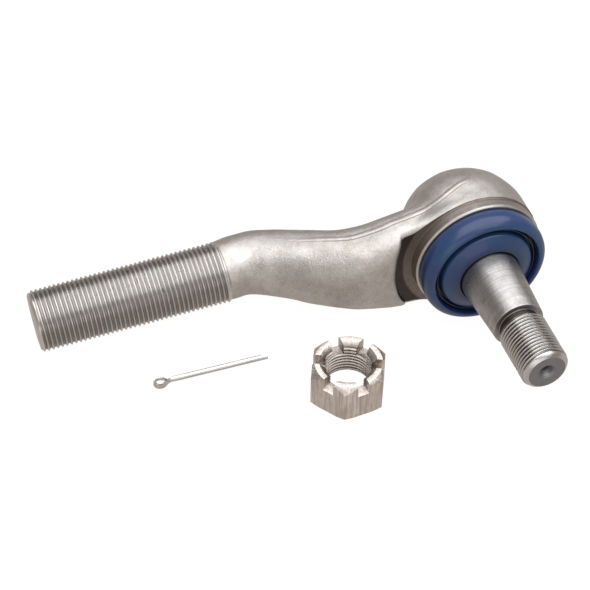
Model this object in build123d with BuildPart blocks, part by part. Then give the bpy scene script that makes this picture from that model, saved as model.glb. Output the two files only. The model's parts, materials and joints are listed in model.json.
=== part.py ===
from build123d import *
from math import cos, radians, sin, sqrt
import os

# Tie rod end. Millimetres. The origin is the centre of the ball. The stud points along -Y,
# the arm and its threaded shank run towards -X, and +Z is up from the surface that the
# head and the shank's free end rest on.

# --- driving sizes ---------------------------------------------------------------------

# ball, socket and bearings
ball_diameter = 38.0
ball_clearance = 0.04       # radial running clearance round the ball
bearing_wall = 3.0          # from the ball's widest circle to the socket's bore
bearing_clearance = 0.05    # radial clearance of a bearing in the bore
bearing_gap = 0.5           # half of the gap between the bearings, either side of the ball's centre
bearing_setback = 0.5       # the front bearing stops gripping the ball this far behind the boss's face
lip_flare = 0.7             # the front bearing's mouth opens by this much to the boss's face
bore_depth = 13.0           # straight bore behind the ball's centre
bearing_floor = 1.3         # the rear bearing behind the ball
take_up = 0.6               # travel of the spring-loaded rear bearing
cone_clearance = 0.9        # room that is left between the cones at the end of that travel
cone_shelf = 3.3            # flat between the socket's cone and the spring's bore
lube_hole_radius = 3.0
spring_bore_radius = 10.2
plate_thickness = 1.0
plate_clearance = 0.4       # radial clearance of the plate and the spring in their bore
spring_height = 3.7         # disc spring, seated
spring_inner_radius = 4.4
spring_thickness = 0.9

# forged housing
head_wall = 8.7             # metal between the socket's bore and the outside of the domed head
boss_step = 0.4             # the turned boss is this much smaller in radius than the head
boss_face = 10.5            # from the ball's centre to the boss's front face
boss_stand = 1.0            # the boss stands this far proud of the pocket's floor
pocket_width = 9.9          # round clearance pocket cut in the arm beside the boss
reach = 198.0               # ball's centre to the shank's free end, along X
shank_offset = 17.4         # the shank's axis passes this far behind the ball's centre
shank_yaw = 3.05            # degrees between the shank's axis and the X axis, in plan
shank_diameter = 28.575     # 1-1/8 in thread, major diameter
shank_thread_length = 90.0
shank_chamfer = 1.6
neck_relief = 0.35          # the forged neck stands this far below the thread's crest

# retainer ring and its seal
retainer_thickness = 4.7
retainer_clearance = 2.0    # between the ring's opening and the ball
retainer_chamfer = 0.8
seal_land = 3.0             # from the socket's bore to the middle of the seal's groove
seal_section = 0.75         # radius of the seal's cord
seal_groove_width = 2.0
seal_groove_depth = 1.6

# ball stud
neck_step = 8.2             # the neck is this much smaller in radius than the ball
neck_length = 4.0
taper_start = 28.0          # big end of the taper, from the ball's centre
taper_length = 32.6
taper_rate = 1 / 8          # on diameter
taper_step = 1.575          # small end's diameter over the thread's
stud_thread_diameter = 22.225   # 7/8 in thread, major diameter
stud_thread_length = 30.4   # with its undercut, up to the end face
stud_nose = 2.3             # chamfer at the end face
undercut_depth = 1.8
undercut_width = 2.6
centre_drill_radius = 3.2
centre_drill_depth = 6.0
cotter_hole_radius = 2.0
cotter_hole_from_tip = 9.0
cotter_hole_turn = 19.0     # degrees of the cotter hole above the X axis

# boot
boot_inset = 1.7            # the boot's back edge lies this far inside the boss's rim
boot_bulge = 1.2            # the widest circle of the outer roll over its back edge
boot_roll_length = 11.0     # thickness of the outer roll along the stud
boot_bulge_place = 0.45     # share of that length at which the roll is widest
boot_roll_wall = 4.7        # from the widest circle in to the groove
boot_roll_crest = 1.6       # the roll's front crest lies this far outside the groove
boot_crest_drop = 1.0       # groove's outer edge below the crest
boot_groove_width = 3.2
boot_groove_draft = 1.0
boot_groove_depth = 4.2
boot_collar_drop = 0.5      # groove's inner edge below the crest
boot_wall = 3.2
boot_skin = 1.0             # wall under the groove, at the collar
boot_shoulder = 2.9         # wall under the groove, at the roll
mouth_clearance = 0.5       # between the boot's mouth and the stud's taper
mouth_rise = 2.5            # the lip stands this far in front of the roll
lip_length = 3.5            # straight mouth of the boot, along the stud
lip_wall = 1.5
base_ring_inset = 2.1       # middle of the base ring inside the boot's back edge
base_ring_width = 1.6
base_ring_clearance = 0.05
base_ring_cover = 1.2       # urethane inside the base ring
lip_ring_section = 0.6      # radius of the ring's wire
lip_ring_clearance = 0.1
lip_ring_depth = 1.75       # lip ring's middle, behind the lip

# grease fitting
spot_face_depth = 0.7       # below the crown of the dome
spot_face_radius = 6.4
fitting_hole_radius = 3.2
fitting_entry = 0.4         # gap between the spring's bore and the fitting's inner end
fitting_hex_flats = 8.0
fitting_hex_height = 2.6
fitting_hex_overlap = 0.1   # the hexagon bites this far into the body
fitting_length = 7.0        # above the spot face
fitting_waist_radius = 2.3
fitting_waist_step = 0.6    # cone between the hexagon and the waist
fitting_nose_radius = 3.2
fitting_nose_length = 3.4
fitting_nose_ramp = 1.0
fitting_nose_band = 0.8
fitting_bore_radius = 1.35
fitting_mouth_radius = 0.9
fitting_mouth_depth = 0.8
fitting_mouth_rim = 0.9
check_ball_clearance = 0.15     # radial, in the fitting's bore
check_spring_wire = 0.16        # radius
check_spring_clearance = 0.1    # radial, in the fitting's bore
check_spring_gap = 0.02         # between the ball and the spring's last turn
check_spring_turns = 4
check_spring_length = 4.0

# slotted nut, lying in front of the arm
nut_sides = 6
nut_across_flats = 31.75
nut_height = 19.0
nut_top_inset = 0.7         # the flat top's edge inside the flats
nut_corner_drop = 3.2       # the corners' chamfer, along the nut's axis
nut_foot_outset = 0.7       # the flat foot's edge outside the flats
nut_foot_drop = 0.8
nut_slot_width = 5.3
nut_slot_depth = 6.2
nut_thread_clearance = 0.05
nut_place = (-74.7, -46.2)
nut_turn = 4.6              # degrees from +X to the nut's first corner

# cotter pin, lying in front of the shank
pin_clearance = 0.5         # radial, in the cotter hole
pin_leg_gap = 0.3
pin_eye_inner_radius = 2.15
pin_eye_chamfer = 0.45
pin_eye_place = (-152.6, -14.5)
pin_length = 50.7           # eye's centre to the tip of the long leg
pin_short_by = 2.5          # the short leg ends this much sooner
pin_turn = -1.2             # degrees from +X to the pin's legs

# --- worked-out values -----------------------------------------------------------------

ball_radius = ball_diameter / 2
seat_radius = ball_radius + ball_clearance
bore_radius = ball_radius + bearing_wall
bearing_radius = bore_radius - bearing_clearance
head_radius = bore_radius + head_wall
boss_radius = head_radius - boss_step
pocket_radius = boss_radius + pocket_width
pocket_floor = boss_face - boss_stand
front_lip = boss_face - bearing_setback
rear_bearing_back = ball_radius + bearing_floor
cone_depth = rear_bearing_back + take_up
cone_radius = spring_bore_radius + cone_shelf
plate_back = rear_bearing_back + plate_thickness
spring_bore_depth = plate_back + spring_height
fitting_flat = head_radius - spot_face_depth
seal_radius = bore_radius + seal_land
retainer_face = boss_face + retainer_thickness
shank_radius = shank_diameter / 2
stud_radius = stud_thread_diameter / 2
taper_end = taper_start + taper_length
taper_small_radius = stud_radius + taper_step / 2
taper_big_radius = taper_small_radius + taper_length * taper_rate / 2
stud_tip = taper_end + stud_thread_length
boot_back_radius = boss_radius - boot_inset
boot_radius = boot_back_radius + boot_bulge
boot_front = retainer_face + boot_roll_length
boot_mouth = boot_front + mouth_rise
boot_mouth_radius = taper_big_radius + mouth_clearance
base_ring_radius = boot_back_radius - base_ring_inset
table = -head_radius

# The shank's axis passes the ball's centre at the ball's height and meets the table's
# clearance at its free end.
shank_end = Vector(-reach, shank_offset + reach * sin(radians(shank_yaw)), shank_radius - head_radius)
shank_aim = Vector(0, shank_offset, 0) - shank_end
shank_direction = shank_aim.normalized()
shank_plane = Plane(origin=shank_end, z_dir=shank_direction)
thread_end = shank_end + shank_direction * shank_thread_length


def circle_height(radius, across):
    """Distance along the axis at which a sphere of this radius is this wide."""
    return sqrt(radius ** 2 - across ** 2)


def on_shank(x):
    """Point of the shank's axis at this X."""
    return shank_end + shank_direction * ((x - shank_end.X) / shank_direction.X)


os.makedirs("parts", exist_ok=True)

# --- housing ---------------------------------------------------------------------------

# Arm stations from the head to the neck: share of the arm's span, share of the neck's
# sideways offset, half width over the neck's radius, and the half height's share of the
# way from the neck's radius to the head's.
forged_neck_radius = shank_radius - neck_relief
arm_span = -thread_end.X
arm_stations = [
    (0.102, -0.065, -0.34, 0.672),
    (0.348, -0.095, -0.74, 0.553),
    (0.522, 0.047, 1.06, 0.296),
    (0.696, 0.496, 2.76, 0.123),
    (0.850, 0.915, 1.26, 0.039),
    (0.963, 1.030, 0.16, 0.004),
]

with BuildPart() as housing:
    with BuildSketch(shank_plane):
        Circle(shank_radius)
    extrude(amount=shank_thread_length)
    chamfer(housing.edges().filter_by(GeomType.CIRCLE), shank_chamfer)
    # the forged neck starts inside the thread's end, and the arm grows out of it
    with BuildSketch(shank_plane.offset(shank_thread_length - 2 * shank_chamfer)):
        Circle(forged_neck_radius)
    extrude(amount=3 * shank_chamfer)
    for span_share, offset_share, extra_width, height_share in arm_stations:
        x = -arm_span * span_share
        centre = (x, thread_end.Y * offset_share, on_shank(x).Z)
        half_height = forged_neck_radius + (head_radius - forged_neck_radius) * height_share
        with BuildSketch(Plane(origin=centre, x_dir=(0, 1, 0), z_dir=(-1, 0, 0))):
            Ellipse(forged_neck_radius + extra_width, half_height)
    with BuildSketch(Plane(origin=on_shank(-arm_span), x_dir=(0, 1, 0), z_dir=(-1, 0, 0))):
        Circle(forged_neck_radius)
    loft()
    # shallow round pocket in the arm's front, then the head's boss and dome over it
    with BuildSketch(Plane.XY):
        with Locations((0, -pocket_floor)):
            Rectangle(pocket_radius, shank_offset + pocket_radius, align=(Align.MIN, Align.MAX))
    revolve(axis=Axis.Y, mode=Mode.SUBTRACT)
    with BuildSketch(Plane.XY):
        with BuildLine():
            Line((0, -boss_face), (boss_radius, -boss_face))
            Line((boss_radius, -boss_face), (boss_radius, -pocket_floor))
            Line((boss_radius, -pocket_floor), (head_radius, -pocket_floor))
            Line((head_radius, -pocket_floor), (head_radius, 0))
            RadiusArc((head_radius, 0), (0, head_radius), -head_radius)
            Line((0, head_radius), (0, -boss_face))
        make_face()
    revolve(axis=Axis.Y)
    # socket, spring bore and the tapped hole for the grease fitting
    with BuildSketch(Plane.XY):
        with BuildLine():
            Polyline(
                (0, -boss_face),
                (bore_radius, -boss_face),
                (bore_radius, bore_depth),
                (cone_radius, cone_depth),
                (spring_bore_radius, cone_depth),
                (spring_bore_radius, spring_bore_depth),
                (fitting_hole_radius, spring_bore_depth),
                (fitting_hole_radius, fitting_flat),
                (spot_face_radius, fitting_flat),
                (spot_face_radius, head_radius + spot_face_depth),
                (0, head_radius + spot_face_depth),
                close=True,
            )
        make_face()
    revolve(axis=Axis.Y, mode=Mode.SUBTRACT)
    # seal groove in the boss's face
    with BuildSketch(Plane.XY):
        with Locations((seal_radius, -boss_face)):
            Rectangle(seal_groove_width, 2 * seal_groove_depth)
    revolve(axis=Axis.Y, mode=Mode.SUBTRACT)
housing.part.label = "housing"
export_step(housing.part, "parts/housing.step")

# --- socket pieces ---------------------------------------------------------------------

lip_radius = circle_height(seat_radius, front_lip)
front_gap_radius = circle_height(seat_radius, bearing_gap)

with BuildPart() as front_bearing:
    with BuildSketch(Plane.XY):
        with BuildLine():
            RadiusArc((front_gap_radius, -bearing_gap), (lip_radius, -front_lip), seat_radius)
            Polyline(
                (lip_radius, -front_lip),
                (lip_radius + lip_flare, -boss_face),
                (bearing_radius, -boss_face),
                (bearing_radius, -bearing_gap),
                (front_gap_radius, -bearing_gap),
            )
        make_face()
    revolve(axis=Axis.Y)
front_bearing.part.label = "front_bearing"
export_step(front_bearing.part, "parts/front_bearing.step")

# The rear bearing's cone keeps its travel clear of the socket's cone.
cone_slope = (cone_depth - bore_depth) / (bore_radius - cone_radius)
rear_shoulder = bore_depth - take_up - cone_clearance
rear_face_radius = bearing_radius - (rear_bearing_back - rear_shoulder) / cone_slope
pole_depth = circle_height(seat_radius, lube_hole_radius)

with BuildPart() as rear_bearing:
    with BuildSketch(Plane.XY):
        with BuildLine():
            RadiusArc((front_gap_radius, bearing_gap), (lube_hole_radius, pole_depth), -seat_radius)
            Polyline(
                (lube_hole_radius, pole_depth),
                (lube_hole_radius, rear_bearing_back),
                (rear_face_radius, rear_bearing_back),
                (bearing_radius, rear_shoulder),
                (bearing_radius, bearing_gap),
                (front_gap_radius, bearing_gap),
            )
        make_face()
    revolve(axis=Axis.Y)
rear_bearing.part.label = "rear_bearing"
export_step(rear_bearing.part, "parts/rear_bearing.step")

plate_radius = spring_bore_radius - plate_clearance

with BuildPart() as thrust_plate:
    with BuildSketch(Plane.XY):
        with Locations((lube_hole_radius, rear_bearing_back)):
            Rectangle(plate_radius - lube_hole_radius, plate_thickness, align=(Align.MIN, Align.MIN))
    revolve(axis=Axis.Y)
thrust_plate.part.label = "thrust_plate"
export_step(thrust_plate.part, "parts/thrust_plate.step")

with BuildPart() as preload_spring:
    with BuildSketch(Plane.XY):
        with BuildLine():
            Polyline(
                (plate_radius, plate_back),
                (plate_radius, plate_back + spring_thickness),
                (spring_inner_radius, spring_bore_depth),
                (spring_inner_radius, spring_bore_depth - spring_thickness),
                close=True,
            )
        make_face()
    revolve(axis=Axis.Y)
preload_spring.part.label = "preload_spring"
export_step(preload_spring.part, "parts/preload_spring.step")

retainer_opening = circle_height(ball_radius, boss_face) + retainer_clearance

with BuildPart() as retainer_ring:
    with BuildSketch(Plane.XY):
        with Locations((retainer_opening, -boss_face)):
            Rectangle(boss_radius - retainer_opening, retainer_thickness, align=(Align.MIN, Align.MAX))
    revolve(axis=Axis.Y)
    chamfer(retainer_ring.edges().sort_by(Axis.Y)[0:2].sort_by(SortBy.RADIUS)[-1], retainer_chamfer)
retainer_ring.part.label = "retainer_ring"
export_step(retainer_ring.part, "parts/retainer_ring.step")

with BuildPart() as retainer_seal:
    with BuildSketch(Plane.XY):
        with Locations((seal_radius, -boss_face + seal_section)):
            Circle(seal_section)
    revolve(axis=Axis.Y)
retainer_seal.part.label = "retainer_seal"
export_step(retainer_seal.part, "parts/retainer_seal.step")

# --- ball stud -------------------------------------------------------------------------

neck_radius = ball_radius - neck_step
ball_edge = circle_height(ball_radius, neck_radius)
undercut_radius = stud_radius - undercut_depth
thread_start = taper_end + undercut_width
hole_direction = Vector(cos(radians(cotter_hole_turn)), 0, sin(radians(cotter_hole_turn)))
hole_centre = Vector(0, cotter_hole_from_tip - stud_tip, 0)

with BuildPart() as ball_stud:
    with BuildSketch(Plane.XY):
        with BuildLine():
            ThreePointArc((0, ball_radius), (ball_radius, 0), (neck_radius, -ball_edge))
            Polyline(
                (neck_radius, -ball_edge),
                (neck_radius, -ball_edge - neck_length),
                (taper_big_radius, -taper_start),
                (taper_small_radius, -taper_end),
                (undercut_radius, -taper_end),
                (undercut_radius, -thread_start),
                (stud_radius, -thread_start - undercut_depth),
                (stud_radius, -stud_tip + stud_nose),
                (stud_radius - stud_nose, -stud_tip),
                (0, -stud_tip),
                (0, ball_radius),
            )
        make_face()
    revolve(axis=Axis.Y)
    # centre drilling in the end face, with its cone
    with BuildSketch(Plane.XY):
        with BuildLine():
            Polyline(
                (0, -stud_tip),
                (centre_drill_radius, -stud_tip),
                (centre_drill_radius / 2, -stud_tip + centre_drill_depth / 2),
                (centre_drill_radius / 2, -stud_tip + centre_drill_depth),
                (0, -stud_tip + centre_drill_depth),
                close=True,
            )
        make_face()
    revolve(axis=Axis.Y, mode=Mode.SUBTRACT)
    with BuildSketch(Plane(origin=hole_centre, z_dir=hole_direction)):
        Circle(cotter_hole_radius)
    extrude(amount=stud_thread_diameter, both=True, mode=Mode.SUBTRACT)
ball_stud.part.label = "ball_stud"
export_step(ball_stud.part, "parts/ball_stud.step")

# --- boot ------------------------------------------------------------------------------

groove_outer = boot_radius - boot_roll_wall
groove_inner = groove_outer - boot_groove_width
groove_floor = boot_front - boot_groove_depth
slot_half = base_ring_width / 2 + base_ring_clearance
slot_floor = retainer_face + base_ring_width + base_ring_clearance
boot_inner = base_ring_radius - base_ring_width / 2 - base_ring_cover
lip_slot_half = lip_ring_section + lip_ring_clearance
lip_ring_centre = boot_mouth - lip_ring_depth

with BuildPart() as boot:
    with BuildSketch(Plane.XY):
        with BuildLine():
            ThreePointArc(
                (boot_back_radius, -retainer_face),
                (boot_radius, -retainer_face - boot_roll_length * boot_bulge_place),
                (groove_outer + boot_roll_crest, -boot_front),
            )
            Polyline(
                (groove_outer + boot_roll_crest, -boot_front),
                (groove_outer, -boot_front + boot_crest_drop),
                (groove_outer - boot_groove_draft, -groove_floor),
                (groove_inner, -groove_floor),
                (groove_inner, -boot_front + boot_collar_drop),
                (boot_mouth_radius + lip_wall, -boot_mouth),
                (boot_mouth_radius, -boot_mouth),
                (boot_mouth_radius, -lip_ring_centre - lip_slot_half),
                (boot_mouth_radius + 2 * lip_slot_half, -lip_ring_centre - lip_slot_half),
                (boot_mouth_radius + 2 * lip_slot_half, -lip_ring_centre + lip_slot_half),
                (boot_mouth_radius, -lip_ring_centre + lip_slot_half),
                (boot_mouth_radius, -boot_mouth + lip_length),
                (groove_inner - boot_wall, -groove_floor + boot_skin),
                (boot_inner, -groove_floor + boot_shoulder),
                (boot_inner, -retainer_face),
                (base_ring_radius - slot_half, -retainer_face),
                (base_ring_radius - slot_half, -slot_floor),
                (base_ring_radius + slot_half, -slot_floor),
                (base_ring_radius + slot_half, -retainer_face),
                (boot_back_radius, -retainer_face),
            )
        make_face()
    revolve(axis=Axis.Y)
boot.part.label = "boot"
export_step(boot.part, "parts/boot.step")

with BuildPart() as boot_base_ring:
    with BuildSketch(Plane.XY):
        with Locations((base_ring_radius, -retainer_face)):
            Rectangle(base_ring_width, base_ring_width, align=(Align.CENTER, Align.MAX))
    revolve(axis=Axis.Y)
boot_base_ring.part.label = "boot_base_ring"
export_step(boot_base_ring.part, "parts/boot_base_ring.step")

with BuildPart() as boot_lip_ring:
    with BuildSketch(Plane.XY):
        with Locations((boot_mouth_radius + lip_slot_half, -lip_ring_centre)):
            Circle(lip_ring_section)
    revolve(axis=Axis.Y)
boot_lip_ring.part.label = "boot_lip_ring"
export_step(boot_lip_ring.part, "parts/boot_lip_ring.step")

# --- grease fitting --------------------------------------------------------------------

fitting_tip = fitting_flat + fitting_length
hex_top = fitting_flat + fitting_hex_height
nose_start = fitting_tip - fitting_nose_length
mouth_seat = fitting_tip - fitting_mouth_depth
check_ball_radius = fitting_bore_radius - check_ball_clearance
check_ball_centre = mouth_seat - circle_height(check_ball_radius, fitting_mouth_radius)
# the spring's last turn seats on the ball, and its first on a shoulder in the bore
coil_radius = fitting_bore_radius - check_spring_wire - check_spring_clearance
coil_reach = check_ball_radius + check_spring_wire + check_spring_gap
coil_height = check_spring_length - 2 * check_spring_wire
coil_base = check_ball_centre - circle_height(coil_reach, coil_radius) - coil_height
spring_seat = coil_base - check_spring_wire
hex_plane = Plane(origin=(0, fitting_flat, 0), x_dir=(1, 0, 0), z_dir=(0, 1, 0))

with BuildPart() as grease_fitting:
    with BuildSketch(Plane.XY):
        with BuildLine():
            Polyline(
                (fitting_mouth_radius, spring_bore_depth + fitting_entry),
                (fitting_hole_radius, spring_bore_depth + fitting_entry),
                (fitting_hole_radius, hex_top),
                (fitting_waist_radius, hex_top + fitting_waist_step),
                (fitting_waist_radius, nose_start),
                (fitting_nose_radius, nose_start + fitting_nose_ramp),
                (fitting_nose_radius, nose_start + fitting_nose_ramp + fitting_nose_band),
                (fitting_mouth_radius + fitting_mouth_rim, fitting_tip),
                (fitting_mouth_radius, fitting_tip),
                (fitting_mouth_radius, mouth_seat),
                (fitting_bore_radius, mouth_seat),
                (fitting_bore_radius, spring_seat),
                (fitting_mouth_radius, spring_seat),
                close=True,
            )
        make_face()
    revolve(axis=Axis.Y)
    with BuildSketch(hex_plane):
        RegularPolygon(fitting_hex_flats / 2, 6, major_radius=False)
        Circle(fitting_hole_radius - fitting_hex_overlap, mode=Mode.SUBTRACT)
    extrude(amount=fitting_hex_height)
grease_fitting.part.label = "grease_fitting"
export_step(grease_fitting.part, "parts/grease_fitting.step")

with BuildPart() as grease_check_ball:
    with BuildSketch(Plane.XY):
        with BuildLine():
            ThreePointArc(
                (0, check_ball_centre + check_ball_radius),
                (check_ball_radius, check_ball_centre),
                (0, check_ball_centre - check_ball_radius),
            )
            Line((0, check_ball_centre - check_ball_radius), (0, check_ball_centre + check_ball_radius))
        make_face()
    revolve(axis=Axis.Y)
grease_check_ball.part.label = "grease_check_ball"
export_step(grease_check_ball.part, "parts/grease_check_ball.step")

with BuildPart() as grease_check_spring:
    with BuildLine():
        coil = Helix(
            pitch=coil_height / check_spring_turns,
            height=coil_height,
            radius=coil_radius,
            center=(0, coil_base, 0),
            direction=(0, 1, 0),
        )
    with BuildSketch(Plane(origin=coil @ 0, z_dir=coil % 0)):
        Circle(check_spring_wire)
    sweep(path=coil, is_frenet=True)
grease_check_spring.part.label = "grease_check_spring"
export_step(grease_check_spring.part, "parts/grease_check_spring.step")

# --- slotted nut -----------------------------------------------------------------------

nut_bore_radius = stud_radius + nut_thread_clearance
nut_corner_radius = nut_across_flats / 3 ** 0.5
nut_plane = Plane(
    origin=(nut_place[0], nut_place[1], table),
    x_dir=(cos(radians(nut_turn)), sin(radians(nut_turn)), 0),
    z_dir=(0, 0, 1),
)
nut_section_plane = Plane(origin=nut_plane.origin, x_dir=nut_plane.x_dir, z_dir=-nut_plane.y_dir)
nut_chamfers = [
    (nut_across_flats / 2 - nut_top_inset, nut_height, -nut_corner_drop),
    (nut_across_flats / 2 + nut_foot_outset, 0, nut_foot_drop),
]

with BuildPart() as slotted_nut:
    with BuildSketch(nut_plane):
        RegularPolygon(nut_corner_radius, nut_sides)
        Circle(nut_bore_radius, mode=Mode.SUBTRACT)
    extrude(amount=nut_height)
    # turned chamfers on the corners, top and foot
    for edge_radius, level, drop in nut_chamfers:
        slope = drop / (nut_corner_radius - edge_radius)
        outside = 2 * nut_corner_radius
        with BuildSketch(nut_section_plane):
            with BuildLine():
                Polyline(
                    (edge_radius, level),
                    (outside, level),
                    (outside, level + slope * (outside - edge_radius)),
                    close=True,
                )
            make_face()
        revolve(axis=Axis(nut_plane.origin, nut_plane.z_dir), mode=Mode.SUBTRACT)
    # slots across the middles of opposite flats
    with BuildSketch(nut_plane.offset(nut_height)):
        with PolarLocations(0, nut_sides // 2, start_angle=180 / nut_sides, angular_range=180):
            Rectangle(2 * nut_across_flats, nut_slot_width)
    extrude(amount=-nut_slot_depth, mode=Mode.SUBTRACT)
slotted_nut.part.label = "slotted_nut"
export_step(slotted_nut.part, "parts/slotted_nut.step")

# --- cotter pin ------------------------------------------------------------------------

pin_leg_radius = cotter_hole_radius - pin_clearance
pin_plane = Plane(
    origin=(pin_eye_place[0], pin_eye_place[1], table),
    x_dir=(cos(radians(pin_turn)), sin(radians(pin_turn)), 0),
    z_dir=(0, 0, 1),
)
pin_section_plane = Plane(
    origin=pin_plane.from_local_coords(Vector(0, 0, pin_leg_radius)),
    x_dir=pin_plane.y_dir,
    z_dir=pin_plane.x_dir,
)
leg_start = circle_height(pin_eye_inner_radius, pin_leg_gap / 2)

with BuildPart() as cotter_pin:
    with BuildSketch(pin_plane):
        Circle(pin_eye_inner_radius + pin_leg_radius)
        Circle(pin_eye_inner_radius, mode=Mode.SUBTRACT)
    extrude(amount=2 * pin_leg_radius)
    chamfer(cotter_pin.edges().filter_by(GeomType.CIRCLE), pin_eye_chamfer)
    for side, leg_end in ((1, pin_length), (-1, pin_length - pin_short_by)):
        with BuildSketch(pin_section_plane.offset(leg_start)):
            Circle(pin_leg_radius)
            with Locations((-side * (pin_leg_radius - pin_leg_gap / 2), 0)):
                Rectangle(2 * pin_leg_radius, 2 * pin_leg_radius, mode=Mode.SUBTRACT)
        extrude(amount=leg_end - leg_start)
cotter_pin.part.label = "cotter_pin"
export_step(cotter_pin.part, "parts/cotter_pin.step")
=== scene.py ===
import json
import math
from functools import partial

import bmesh
import bpy
import numpy as np
from mathutils import Matrix, Vector


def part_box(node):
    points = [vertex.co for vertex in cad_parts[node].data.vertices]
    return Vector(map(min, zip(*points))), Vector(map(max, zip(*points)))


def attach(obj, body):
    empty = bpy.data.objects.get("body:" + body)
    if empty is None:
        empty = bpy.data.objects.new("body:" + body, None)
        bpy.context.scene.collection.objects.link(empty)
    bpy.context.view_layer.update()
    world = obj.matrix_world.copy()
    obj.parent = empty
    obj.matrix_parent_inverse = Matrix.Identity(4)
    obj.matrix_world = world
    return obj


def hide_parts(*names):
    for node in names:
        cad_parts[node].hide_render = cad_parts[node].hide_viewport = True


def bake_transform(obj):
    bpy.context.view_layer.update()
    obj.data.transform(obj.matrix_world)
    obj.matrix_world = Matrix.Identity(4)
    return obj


# Tie rod end with its slotted nut and cotter pin. Sizes are millimetres; a mesh is in metres.

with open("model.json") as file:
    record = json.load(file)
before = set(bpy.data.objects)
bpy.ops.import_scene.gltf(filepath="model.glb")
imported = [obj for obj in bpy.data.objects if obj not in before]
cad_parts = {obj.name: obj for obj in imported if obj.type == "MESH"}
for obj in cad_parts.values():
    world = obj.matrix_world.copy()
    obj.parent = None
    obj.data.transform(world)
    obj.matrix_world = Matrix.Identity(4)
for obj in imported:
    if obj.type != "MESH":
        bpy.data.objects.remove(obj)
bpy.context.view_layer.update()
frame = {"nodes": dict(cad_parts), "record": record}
mm = 0.001
weld = 0.002  # points closer than this are one
mounts = {mount["name"]: mount for mount in frame["record"]["mounts"]}
print("frame loaded:", len(frame["nodes"]), "nodes")


# small helpers

def boxOf(node):  # lowest and highest corner of a CAD node
    low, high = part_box(node)
    return low / mm, high / mm


def axisFrame(origin, axis):  # places a shape drawn up its own Z axis
    turn = Vector(axis).to_track_quat("Z", "Y").to_matrix().to_4x4()
    return Matrix.Translation(origin) @ turn


def meshObject(name, points, faces, place=None):
    mesh = bpy.data.meshes.new(name)
    mesh.from_pydata([tuple(point) for point in points], [], [tuple(face) for face in faces])
    if place is not None:
        mesh.transform(place)
    mesh.transform(Matrix.Scale(mm, 4))
    piece = bpy.data.objects.new(name, mesh)
    bpy.context.scene.collection.objects.link(piece)
    return piece


def tidyMesh(piece, sharpAngle=35):  # weld, outward faces, smooth with crisp edges
    work = bmesh.new()
    work.from_mesh(piece.data)
    bmesh.ops.remove_doubles(work, verts=work.verts, dist=weld * mm)
    bmesh.ops.recalc_face_normals(work, faces=work.faces)
    work.to_mesh(piece.data)
    work.free()
    piece.data.shade_smooth()
    piece.data.set_sharp_from_angle(angle=math.radians(sharpAngle))
    return piece


def bakeModifiers(piece):
    graph = bpy.context.evaluated_depsgraph_get()
    baked = bpy.data.meshes.new_from_object(piece.evaluated_get(graph))
    piece.modifiers.clear()
    piece.data = baked
    return piece


def combine(piece, other, operation):  # exact boolean, keeps both pieces' materials
    cut = piece.modifiers.new(operation.lower(), "BOOLEAN")
    cut.operation = operation
    cut.solver = "EXACT"
    cut.material_mode = "TRANSFER"
    cut.object = other
    bakeModifiers(piece)
    bpy.data.objects.remove(other)
    return piece


def softCorners(corners, steps=4):  # (radius, along) or (radius, along, softness) of each corner
    points = []
    count = len(corners)
    for i, corner in enumerate(corners):
        here = Vector(corner[:2])
        softness = corner[2] if len(corner) > 2 else 0
        if not softness:
            points.append(here)
            continue
        before = Vector(corners[i - 1][:2]) - here
        after = Vector(corners[(i + 1) % count][:2]) - here
        reach = min(softness, before.length * 0.49, after.length * 0.49)
        start = here + before.normalized() * reach
        end = here + after.normalized() * reach
        for step in range(steps + 1):
            t = step / steps
            points.append(start * (1 - t) ** 2 + here * 2 * t * (1 - t) + end * t ** 2)
    return points


# a ring, or a solid where the outline meets the axis
def lathe(name, corners, place, segments=128, steps=4):
    outline = softCorners(corners, steps)
    points, rings, faces = [], [], []
    for radius, along in outline:
        if radius < 1e-6:
            rings.append([len(points)] * segments)
            points.append((0, 0, along))
            continue
        rings.append(list(range(len(points), len(points) + segments)))
        for i in range(segments):
            angle = 2 * math.pi * i / segments
            points.append((radius * math.cos(angle), radius * math.sin(angle), along))
    closed = outline[0][0] > 1e-6
    for i in range(len(rings) if closed else len(rings) - 1):
        ring, following = rings[i], rings[(i + 1) % len(rings)]
        for j in range(segments):
            k = (j + 1) % segments
            face = [ring[j], ring[k], following[k], following[j]]
            face = list(dict.fromkeys(face))
            if len(face) > 2:
                faces.append(face)
    return meshObject(name, points, faces, place)


def prism(name, ring, low, high, place):  # a flat ring of corners, drawn up from low to high
    n = len(ring)
    points = [(x, y, z) for z in (low, high) for x, y in ring]
    sides = [(i, (i + 1) % n, (i + 1) % n + n, i + n) for i in range(n)]
    return meshObject(name, points, [tuple(reversed(range(n))), tuple(range(n, 2 * n)), *sides], place)


def pointsOf(piece):
    places = np.empty(3 * len(piece.data.vertices))
    piece.data.vertices.foreach_get("co", places)
    return places.reshape(-1, 3) / mm


def addAttribute(piece, name, values):
    layer = piece.data.attributes.new(name, "FLOAT", "POINT")
    layer.data.foreach_set("value", np.asarray(values, dtype=np.float32))


def threadRootShade(piece, origin, axis, thread, start, end):  # 0 on a thread's crest, 1 in its root: strength of the painted shade in the roots
    offset = pointsOf(piece) - np.array(origin)
    along = offset @ np.array(axis)
    radius = np.linalg.norm(offset - along[:, None] * np.array(axis), axis=1)
    deep = np.clip((thread["Crest Radius"] - radius) / thread["Depth"], 0, 1)
    return deep * (along > start) * (along < end)


def addNode(tree, kind, values=None, **settings):
    node = tree.nodes.new(kind)
    for name, value in settings.items():
        setattr(node, name, value)
    for name, value in (values or {}).items():
        socket = node.inputs[name]
        if isinstance(value, bpy.types.NodeSocket):
            tree.links.new(value, socket)
        else:
            socket.default_value = value
    return node


def mathStep(tree, operation, *values):
    return addNode(tree, "ShaderNodeMath", dict(enumerate(values)), operation=operation).outputs[0]


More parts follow.
